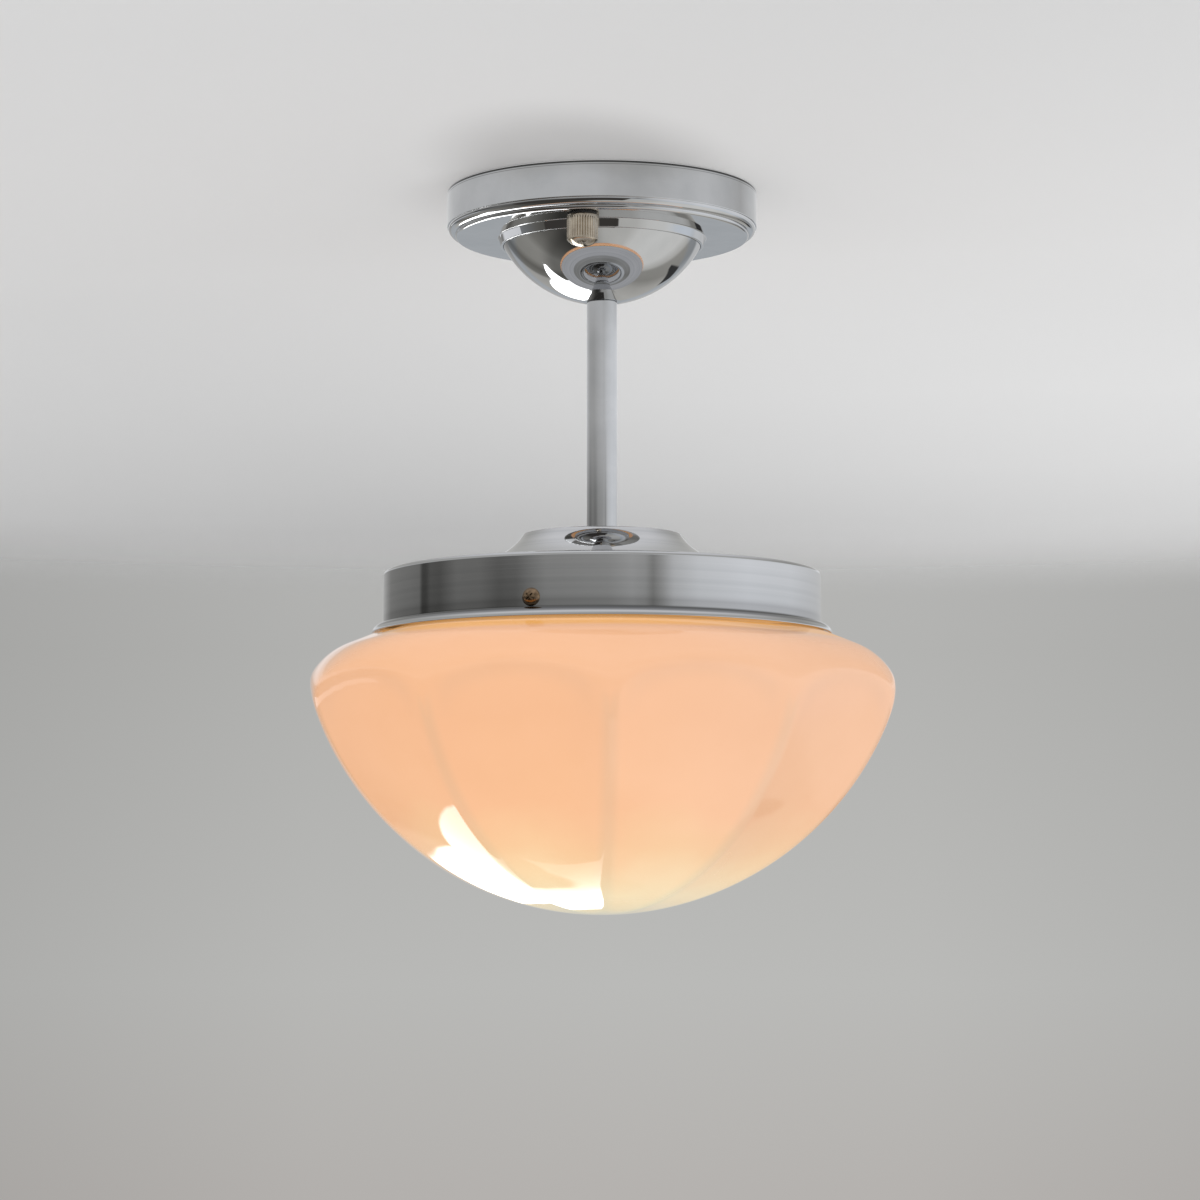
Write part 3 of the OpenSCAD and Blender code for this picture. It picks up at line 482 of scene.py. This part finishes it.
# Gallery: crown, drum and rounded flange, with a hole for each screw
flare = []
crown_h = CROWN_Z - DRUM_Z
for i in range(33):
    t = i / 32
    side = CROWN_LEAN * crown_h
    bend = (CROWN_FOOT_R - CROWN_TOP_R - side) * t ** CROWN_FLARE
    flare.append((CROWN_TOP_R + side * t + bend, CROWN_Z + (DRUM_Z - CROWN_Z) * t))
drum_arc = (DRUM_R - DRUM_EDGE, DRUM_Z - DRUM_EDGE)
in_edge = DRUM_EDGE - WALL * 0.9
gallery = [(BORE_R, CROWN_Z), (CROWN_TOP_R, CROWN_Z, 0.7)] + flare[1:]
gallery += arc(*drum_arc, DRUM_EDGE, DRUM_EDGE, 90, 0, 12)
gallery += [(DRUM_R, SCREW_Z + HEAD_R, 0), (DRUM_R, SCREW_Z - HEAD_R, 0), (DRUM_R, FLANGE_Z, 0.3)]
gallery += arc(DRUM_R, MOUTH_Z, FLANGE_W, FLANGE_H, 90, 0, 20)
gallery += arc(DRUM_R, MOUTH_Z, FLANGE_W - WALL, FLANGE_H - WALL, 0, 90, 12)
gallery += [(DRUM_R - WALL, FLANGE_Z - WALL), (DRUM_R - WALL, SCREW_Z - HEAD_R, 0),
            (DRUM_R - WALL, SCREW_Z + HEAD_R, 0)]
gallery += arc(*drum_arc, in_edge, in_edge, 0, 90, 6)
gallery += [(r - WALL * 0.6, z - WALL * 0.9) for r, z in flare[:2:-2]]
gallery += [(CROWN_TOP_R - WALL, CROWN_Z - WALL), (BORE_R, CROWN_Z - WALL)]
gallery_piece = piece("gallery_spinning", *lathe(rounded(gallery, 0.2), 288), "chrome_spun",
                      "fitting", "gallery", "chrome")


def screw_pins(sides=32):
    """Three round pins through the drum's wall, one for each screw's hole."""
    verts, faces = [], []
    for i in range(3):
        a = math.radians(GALLERY_TURN - 90 + 120 * i)
        first, second = len(verts), len(verts) + sides
        for r in (DRUM_R - 2 * WALL, DRUM_R + WALL):
            for u, v in arc(0, 0, HOLE_R, HOLE_R, 0, 360, sides)[:-1]:
                verts.append((r * math.cos(a) - u * math.sin(a),
                              r * math.sin(a) + u * math.cos(a), SCREW_Z + v))
        for j in range(sides):
            k = (j + 1) % sides
            faces.append((first + j, first + k, second + k, second + j))
        faces += [tuple(first + j for j in reversed(range(sides))),
                  tuple(second + j for j in range(sides))]
    return verts, faces


drill(gallery_piece, solid("screw_holes", *screw_pins()))

# Cap nuts: knurled, with a plain rim and a rounded end
nut_top = FACE_Z - NUT_GAP
nut_low = nut_top - NUT_L
nut_bend = 0.42 * NUT_R
nut_ball = (NUT_R ** 2 + nut_bend ** 2) / (2 * nut_bend)


def nut_radius(r, z, a):
    """Cuts the knurl into the nut's side, fading out at both ends."""
    if abs(r - NUT_R) > 0.3:
        return r
    top, low = nut_top - NUT_RIM, nut_low + nut_bend
    fade = max(0.0, min(1.0, (top - z) / 0.3, (z - low - 0.5) / 0.4))
    return r - KNURL * fade * max(0.0, math.cos(KNURLS * a)) ** 3


nut_end = math.degrees(math.asin(NUT_R / nut_ball))
nut = [(STUD_R, nut_top), (NUT_R, nut_top, 0.3), (NUT_R, nut_top - NUT_RIM)]
nut += [(NUT_R, nut_top - 1.6 - (NUT_L - nut_bend - 2.2) * i / 12, 0) for i in range(13)]
nut += arc(0, nut_low + nut_ball, nut_ball, nut_ball, -90 + nut_end, -89.5, 20)
nut += [(0.02, nut_top - 12), (STUD_R, nut_top - 12)]
for y, where in ((-STUD_Y, "front"), (STUD_Y, "back")):
    verts, faces = lathe(rounded(nut, 0.25), KNURLS * 8, nut_radius, (0, y))
    piece("knurled_nut_" + where, verts, faces, "nickel", "cap_nut_" + where, "cap_nut_" + where,
          "chrome", 40)


# Glass bowl
def soft_min(a, b, k):
    """The smaller of two numbers, with a soft change between them over k."""
    h = max(k - abs(a - b), 0) / k
    return min(a, b) - h * h * k / 4


def bowl_column(turn, inset):
    """One side of the bowl's wall at an angle from a panel's middle, drawn in by the inset.

    Gives radius and height from the upper shoulder to the tip. The ridges are softened over
    ridge_soft degrees, and the shoulder goes on below its round as a straight tail.
    """
    ridge_soft, meet_soft, tail = 2.2, 4.0, math.radians(-18)
    d = (turn + HALF_PANEL) % (2 * HALF_PANEL) - HALF_PANEL
    near = HALF_PANEL - abs(d)
    if near < ridge_soft:
        d = HALF_PANEL - ridge_soft / 2 - near * near / (2 * ridge_soft)
    spread = 1 / math.cos(math.radians(d))
    flat_r, round_r = PANEL_ARC_R - inset, SHOULDER_R - inset
    tail_r, tail_z = ARC_X + round_r * math.cos(tail), ARC_Z + round_r * math.sin(tail)

    def at(z):
        w = z - PANEL_Z
        panel = (math.sqrt(max(0.0, flat_r ** 2 - w * w)) if w < 0 else flat_r) * spread
        if z > tail_z:
            q = min(round_r, z - ARC_Z)
            shoulder = ARC_X + math.sqrt(max(0.0, round_r ** 2 - q * q))
        else:
            shoulder = tail_r + (z - tail_z) * math.tan(-tail)
        return soft_min(shoulder, panel, meet_soft)

    heights = []
    for i in range(SHOULDER_STEPS + 1):
        a = math.radians((90 - SLOPE) * (1 - i / SHOULDER_STEPS))
        heights.append(ARC_Z + round_r * math.sin(a))
    first = math.degrees(math.asin((PANEL_Z - ARC_Z) / flat_r))
    for i in range(1, PANEL_STEPS + 1):
        b = math.radians(first + (89.6 - first) * i / PANEL_STEPS)
        heights.append(PANEL_Z - flat_r * math.sin(b))
    return [(at(z), z) for z in heights]


def bowl_mesh():
    """Columns round the bowl, closer together near the ridges, each once round the wall."""
    near = [0, 0.4, 0.8, 1.2, 1.6, 2.0, 2.4, 3.2, 5.0, 8.0, 12.5]
    steps = near + [HALF_PANEL] + [2 * HALF_PANEL - b for b in near[:0:-1]]
    turns = [a - HALF_PANEL + 2 * HALF_PANEL * q for q in range(PANELS) for a in steps]
    slope = math.tan(LEAN)
    foot = EDGE_Z + (EDGE_R - NECK_R) * slope
    in_r = NECK_R - GLASS_T
    neck = [(NECK_R - 0.9, RIM_Z), (NECK_R - 0.3, RIM_Z - 0.15), (NECK_R, RIM_Z - 0.6),
            (NECK_R, (RIM_Z + foot) / 2), (NECK_R, foot + 1.4), (NECK_R + 0.3, foot + 0.4),
            (NECK_R + 1.1, foot - 0.35), (EDGE_R - 6, EDGE_Z + 6 * slope), (EDGE_R, EDGE_Z)]
    columns = []
    for turn in turns:
        outer, inner = bowl_column(turn, 0), bowl_column(turn, GLASS_T)
        end = [(in_r, inner[0][1] + (inner[0][0] - in_r) * slope), (in_r, RIM_Z - 0.6),
               (in_r + 0.5, RIM_Z)]
        columns.append(neck + outer + inner[::-1] + end)
    n, m = len(turns), len(columns[0])
    verts, faces = [], []
    for turn, c in zip(turns, columns):
        a = math.radians(GLASS_TURN - 72 + turn)
        verts += [(r * math.cos(a), r * math.sin(a), z) for r, z in c]
    last = len(neck) + SHOULDER_STEPS + PANEL_STEPS
    outer_tip = len(verts)
    verts += [(0, 0, TIP_Z + 0.1), (0, 0, TIP_Z + GLASS_T + 0.1)]
    for k in range(n):
        a, b = k * m, (k + 1) % n * m
        faces += [(a + i, a + (i + 1) % m, b + (i + 1) % m, b + i) for i in range(m) if i != last]
    for k in range(n):
        a, b = k * m + last, (k + 1) % n * m + last
        faces += [(a, outer_tip, b), (a + 1, b + 1, outer_tip + 1)]
    return verts, faces


piece("opal_bowl", *bowl_mesh(), "opal_glass", "shade", "glass_bowl", "opal_glass", 50)

# Materials of the CAD pieces that stay, by the start of their names; the others are zinc steel
FINISHES = {
    "cap_washer": "fibre", "gallery_screw": "screw_brass", "screw_tip": "nylon",
    "wire_live": "wire_brown", "wire_neutral": "wire_blue", "wire_earth": "wire_green",
    "holder_cover": "porcelain", "holder_body": "porcelain", "holder_shell": "brass",
    "holder_contact": "brass", "bulb_insulator": "porcelain", "bulb_glass": "bulb_glass",
    "terminal_block": "nylon", "terminal_tubes": "brass", "rod_plugs": "brass",
    "screw_bosses": "brass"}
for name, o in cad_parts.items():
    key = next((FINISHES[k] for k in FINISHES if name.startswith(k)), "zinc_steel")
    o.data.materials.clear()
    o.data.materials.append(MAT[key])


# Stage. From here on, places and sizes are in metres
def flat_disc(name, r_in, r_out, z, up, mat, rows, steps=128):
    """A level disc with a hole, facing up or down. Its rows are closer together near the hole."""
    verts, faces = [], []
    for i in range(rows + 1):
        r = r_in + (r_out - r_in) * (i / rows) ** 2
        turns = [2 * math.pi * j / steps for j in range(steps)]
        verts += [(r * math.cos(t), r * math.sin(t), z) for t in turns]
    for i in range(rows):
        for j in range(steps):
            a, b = i * steps + j, i * steps + (j + 1) % steps
            q = (a, a + steps, b + steps, b)
            faces.append(q if up else q[::-1])
    mesh = bpy.data.meshes.new(name)
    mesh.from_pydata(verts, [], faces)
    mesh.materials.append(mat)
    o = bpy.data.objects.new(name, mesh)
    bpy.context.scene.collection.objects.link(o)
    o.visible_glossy = False


def plaster(name, colour, fade, one_sided, backdrop):
    """Pale matt surface that fades out with distance from the axis.

    For the camera, the backdrop share of its tone isn't lit: it is painted light, brighter on the
    right and changing with depth, with a painted shadow close to the rose.
    """
    m, n, use = material(name, Roughness=0.9, Emission_Strength=1.0)
    p = n.place()
    x, y, z = n.apart(p)
    paint = n.ramp(n.noise(p, 0.8, 3), [(0.3, tuple(c * 0.97 for c in colour)), (0.7, colour)])
    share = n.times(n.add("ShaderNodeLightPath").outputs["Is Camera Ray"], backdrop)
    use(n.mix(share, paint, BLACK), "Base Color")
    seen = n.span(n.radius(x, y), *fade, 1.0, 0.0)
    if one_sided:
        back = n.add("ShaderNodeNewGeometry").outputs["Backfacing"]
        seen = n.times(seen, n.less(1.0, back))
    use(seen, "Alpha")
    # Painted light: the backdrop tone changes with depth and is brighter on the right, as the
    # lamps light the ceiling
    depth = n.line(y, -0.35, 1.45)
    left = n.ramp(depth, [(0.0, 0.57), (0.30, 0.62), (0.58, 0.53), (0.80, 0.44), (1.0, 0.34)])
    right = n.ramp(depth, [(0.0, 0.56), (0.30, 0.77), (0.58, 0.83), (0.80, 0.77), (1.0, 0.66)])
    painted_light_shade = n.mix(n.span(x, -0.45, 0.40), left, right)
    # Painted shadow on the ceiling, darkest just in front of the rose
    close = n.radius(n.times(x, 1.7), n.plus(y, 0.07))
    painted_light_shade = n.mix(n.span(close, 0.15, 0.06, 0.0, 0.5), painted_light_shade, BLACK)
    use(n.mix(share, BLACK, painted_light_shade), "Emission Color")
    return m


CEILING_Z, CEILING_R, HOLE_IN_CEILING_R, FLOOR_Z, FLOOR_R = 0.0006, 3.0, 0.0803, -2.1, 9.0
flat_disc("ceiling", HOLE_IN_CEILING_R, CEILING_R, CEILING_Z, False,
          plaster("ceiling_paint", (0.86, 0.86, 0.862), (1.45, 2.2), True, 0.5), 8)
flat_disc("floor", 0.001, FLOOR_R, FLOOR_Z, True,
          plaster("floor_paint", (0.78, 0.78, 0.77), (4.0, 8.0), False, 0.0), 4)

# Room that metal and glass mirror, by azimuth (0 in front, 90 on the right) and elevation.
# Brightness by azimuth: level with the light, higher up, highest and below
WALLS = [(-180, .55), (-165, .5), (-150, .40), (-137, .25), (-110, .22), (-101, .20), (-99, .07),
         (-95, .07), (-92, .12), (-84, .11), (-72, .2), (-57, .19), (-46, .13), (-36, .15),
         (-20, .31), (12, .36), (24, .45), (31, .40), (35, .27), (40, .42), (46, .66), (60, .84),
         (90, .95), (125, .90), (180, .55)]
UPPER = [(-180, .85), (-143, .75), (-124, .68), (-95, .52), (-54, .50), (-21, .60), (9, .68),
         (24, .67), (40, .78), (55, .84), (91, .93), (143, .95), (180, .85)]
TOP = [(-180, .70), (-118, .66), (-62, .70), (3, .68), (16, .63), (39, .61), (51, .64), (65, .70),
       (94, .74), (112, .68), (134, .54), (150, .66), (180, .70)]
LOWER = [(-180, .55), (-172, .48), (-163, .52), (-141, .50), (-138, .24), (-130, .17),
         (-120, .33), (-100, .36), (-90, .25), (-72, .16), (-50, .08), (-30, .08), (-12, .20),
         (2, .50), (12, .60), (50, .66), (64, .80), (90, .86), (125, .82), (137, .60), (141, .38),
         (158, .34), (168, .48), (180, .55)]
# Corners of the patches in it, anticlockwise
DARK_FRONT = [(-60, -2), (-60, -30), (-22, -45.5), (27, -45.5), (30, -3)]
DARK_BACK = [(148, -28), (152, -28), (171, -18), (169, -13), (161, -15)]
STRIP = [(-144, -2.5), (-95, -14), (-95, -10), (-144, 1.5)]
WINDOW = [(-165, -44.5), (-155, -56), (-149, -63), (-143, -70), (-139.5, -50), (-140.5, -35.5),
          (-143, -32), (-149, -26.5), (-156, -21), (-162, -18), (-169, -19), (-171, -27),
          (-170, -36)]
WINDOW_TAIL = [(-143, -50), (-139, -49), (-118.5, -43), (-118.5, -41), (-139, -36.3),
               (-143, -35.5)]

world = bpy.data.worlds.new("studio")
bpy.context.scene.world = world
world.use_nodes = True
world.node_tree.nodes.clear()
w = Nodes(world.node_tree)
ray = w.add("ShaderNodeLightPath").outputs
dx, dy, dz = w.apart(w.add("ShaderNodeTexCoord").outputs["Generated"])
azimuth = w.times(w.math("ARCTAN2", dx, w.times(dy, -1.0)), 180 / math.pi)
elevation = w.times(w.math("ARCSINE", dz), 180 / math.pi)


def beyond(a, ea, b, eb, soft):
    """1 on the left of the line from direction (a, ea) to (b, eb), 0 on its right."""
    run, up = b - a, eb - ea
    long = math.hypot(run, up)
    off = w.plus(w.times(azimuth, -up / long), w.times(elevation, run / long))
    edge = (-a * up + ea * run) / long
    return w.span(off, edge - soft, edge + soft)


def patch(corners, soft):
    """1 inside a convex patch of directions, with a border that is soft over some degrees."""
    inside = 1.0
    for (a, ea), (b, eb) in zip(corners, corners[1:] + corners[:1]):
        inside = w.times(inside, beyond(a, ea, b, eb, soft))
    return inside


def round_the_room(stops):
    """Brightness by azimuth: a little warm where dark, a little blue where light."""
    tints = [((a + 180) / 360, (b * (1.02 - 0.04 * b), b, b * (0.94 + 0.10 * b)))
             for a, b in stops]
    return w.ramp(w.line(azimuth, -180, 180), tints)


lower = round_the_room(LOWER)
top = round_the_room(TOP)
top = w.mix(w.span(elevation, 12.5, 12.95), top, w.tint(top, (0.74, 0.73, 0.70)))
upper = w.mix(w.span(elevation, 9.5, 11.5), round_the_room(UPPER), top)
upper = w.mix(w.span(elevation, 25, 60), upper, (0.84, 0.84, 0.86))
room = w.mix(w.line(elevation, 6.4, 8.8), round_the_room(WALLS), upper)
low = w.mix(w.span(elevation, -38, -52), lower, w.tint(lower, grey(0.62)))
low = w.mix(w.span(azimuth, -10, 0), low, lower)
low = w.mix(w.span(elevation, -62, -80), low, grey(0.10))
low = w.tint(low, w.mix(w.span(elevation, -20, -14), (1.02, 1.0, 0.95), (0.95, 1.0, 1.06)))
room = w.mix(w.span(elevation, -5, -9), room, low)
room = w.mix(patch(DARK_FRONT, 1.0), room, (0.06, 0.055, 0.05))
room = w.mix(patch(DARK_BACK, 0.7), room, grey(0.05))
room = w.mix(patch(STRIP, 0.4), room, (0.95, 0.96, 0.99))
window = w.math("MAXIMUM", patch(WINDOW, 0.7), patch(WINDOW_TAIL, 0.5))
pane = w.ramp(w.line(elevation, -70, -20), [
    (0.0, 0.11), (0.2, 0.14), (0.44, 0.30), (0.62, 0.6), (1.0, 0.6)])
room = w.mix(window, room, w.tint(pane, grey(10.0)))

# The plain light that matt surfaces get, and the backdrop that the camera sees
light = w.mix(ray["Is Glossy Ray"], (0.80, 0.80, 0.81), room)
backdrop = w.ramp(w.line(elevation, -4, 7), [
    (0.0, lin(181, 178, 175)), (0.3, lin(186, 186, 184)), (0.8, lin(179, 179, 177)),
    (1.0, lin(181, 181, 180))])
across = w.ramp(w.line(dx, -0.32, 0.02), [
    (0.0, 0.86), (0.25, 0.97), (0.5, 1.0), (0.75, 1.0), (1.0, 0.93)])
seen = w.mix(ray["Is Camera Ray"], light, w.tint(backdrop, across))
background = w.add("ShaderNodeBackground", None, Color=seen, Strength=1.0).outputs[0]
w.add("ShaderNodeOutputWorld", None, Surface=background)


def softbox(name, at, aim, size, power, colour):
    data = bpy.data.lights.new(name, "AREA")
    data.energy, data.size, data.color = power, size, colour
    o = bpy.data.objects.new(name, data)
    o.location = at
    o.rotation_euler = (Vector(aim) - Vector(at)).to_track_quat("-Z", "Y").to_euler()
    o.visible_camera = False
    o.visible_glossy = False
    bpy.context.scene.collection.objects.link(o)


softbox("key", (1.5, -1.0, -1.0), (0, 0, -0.2), 1.3, 13, (0.95, 0.98, 1.0))
softbox("fill", (-1.3, -1.3, -1.1), (0, 0, -0.2), 1.3, 6, WHITE)

# Camera: at the photograph's angle, level with the bowl's lower part and tilted up a little.
# AIM_PX is how far the axis stands beside the picture's middle
AZ, TILT, DIST, EYE_Z = 8.9, 5.638, 1.8005, -0.3930
PICTURE_PX, FOCAL_PX, AIM_PX, SENSOR = 1200, 3464.1, 2, 36
camera = bpy.data.cameras.new("camera")
camera.sensor_width = SENSOR
camera.lens = FOCAL_PX / PICTURE_PX * SENSOR
eye = bpy.data.objects.new("camera", camera)
bpy.context.scene.collection.objects.link(eye)
a, t = math.radians(AZ), math.radians(TILT)
eye.location = (DIST * math.sin(a), -DIST * math.cos(a), EYE_Z)
a += math.atan(AIM_PX / FOCAL_PX)
ahead = Vector((-math.sin(a) * math.cos(t), math.cos(a) * math.cos(t), math.sin(t)))
eye.rotation_euler = ahead.to_track_quat("-Z", "Y").to_euler()
bpy.context.scene.camera = eye
bpy.context.scene.view_settings.view_transform = "Standard"

bpy.context.view_layer.update()
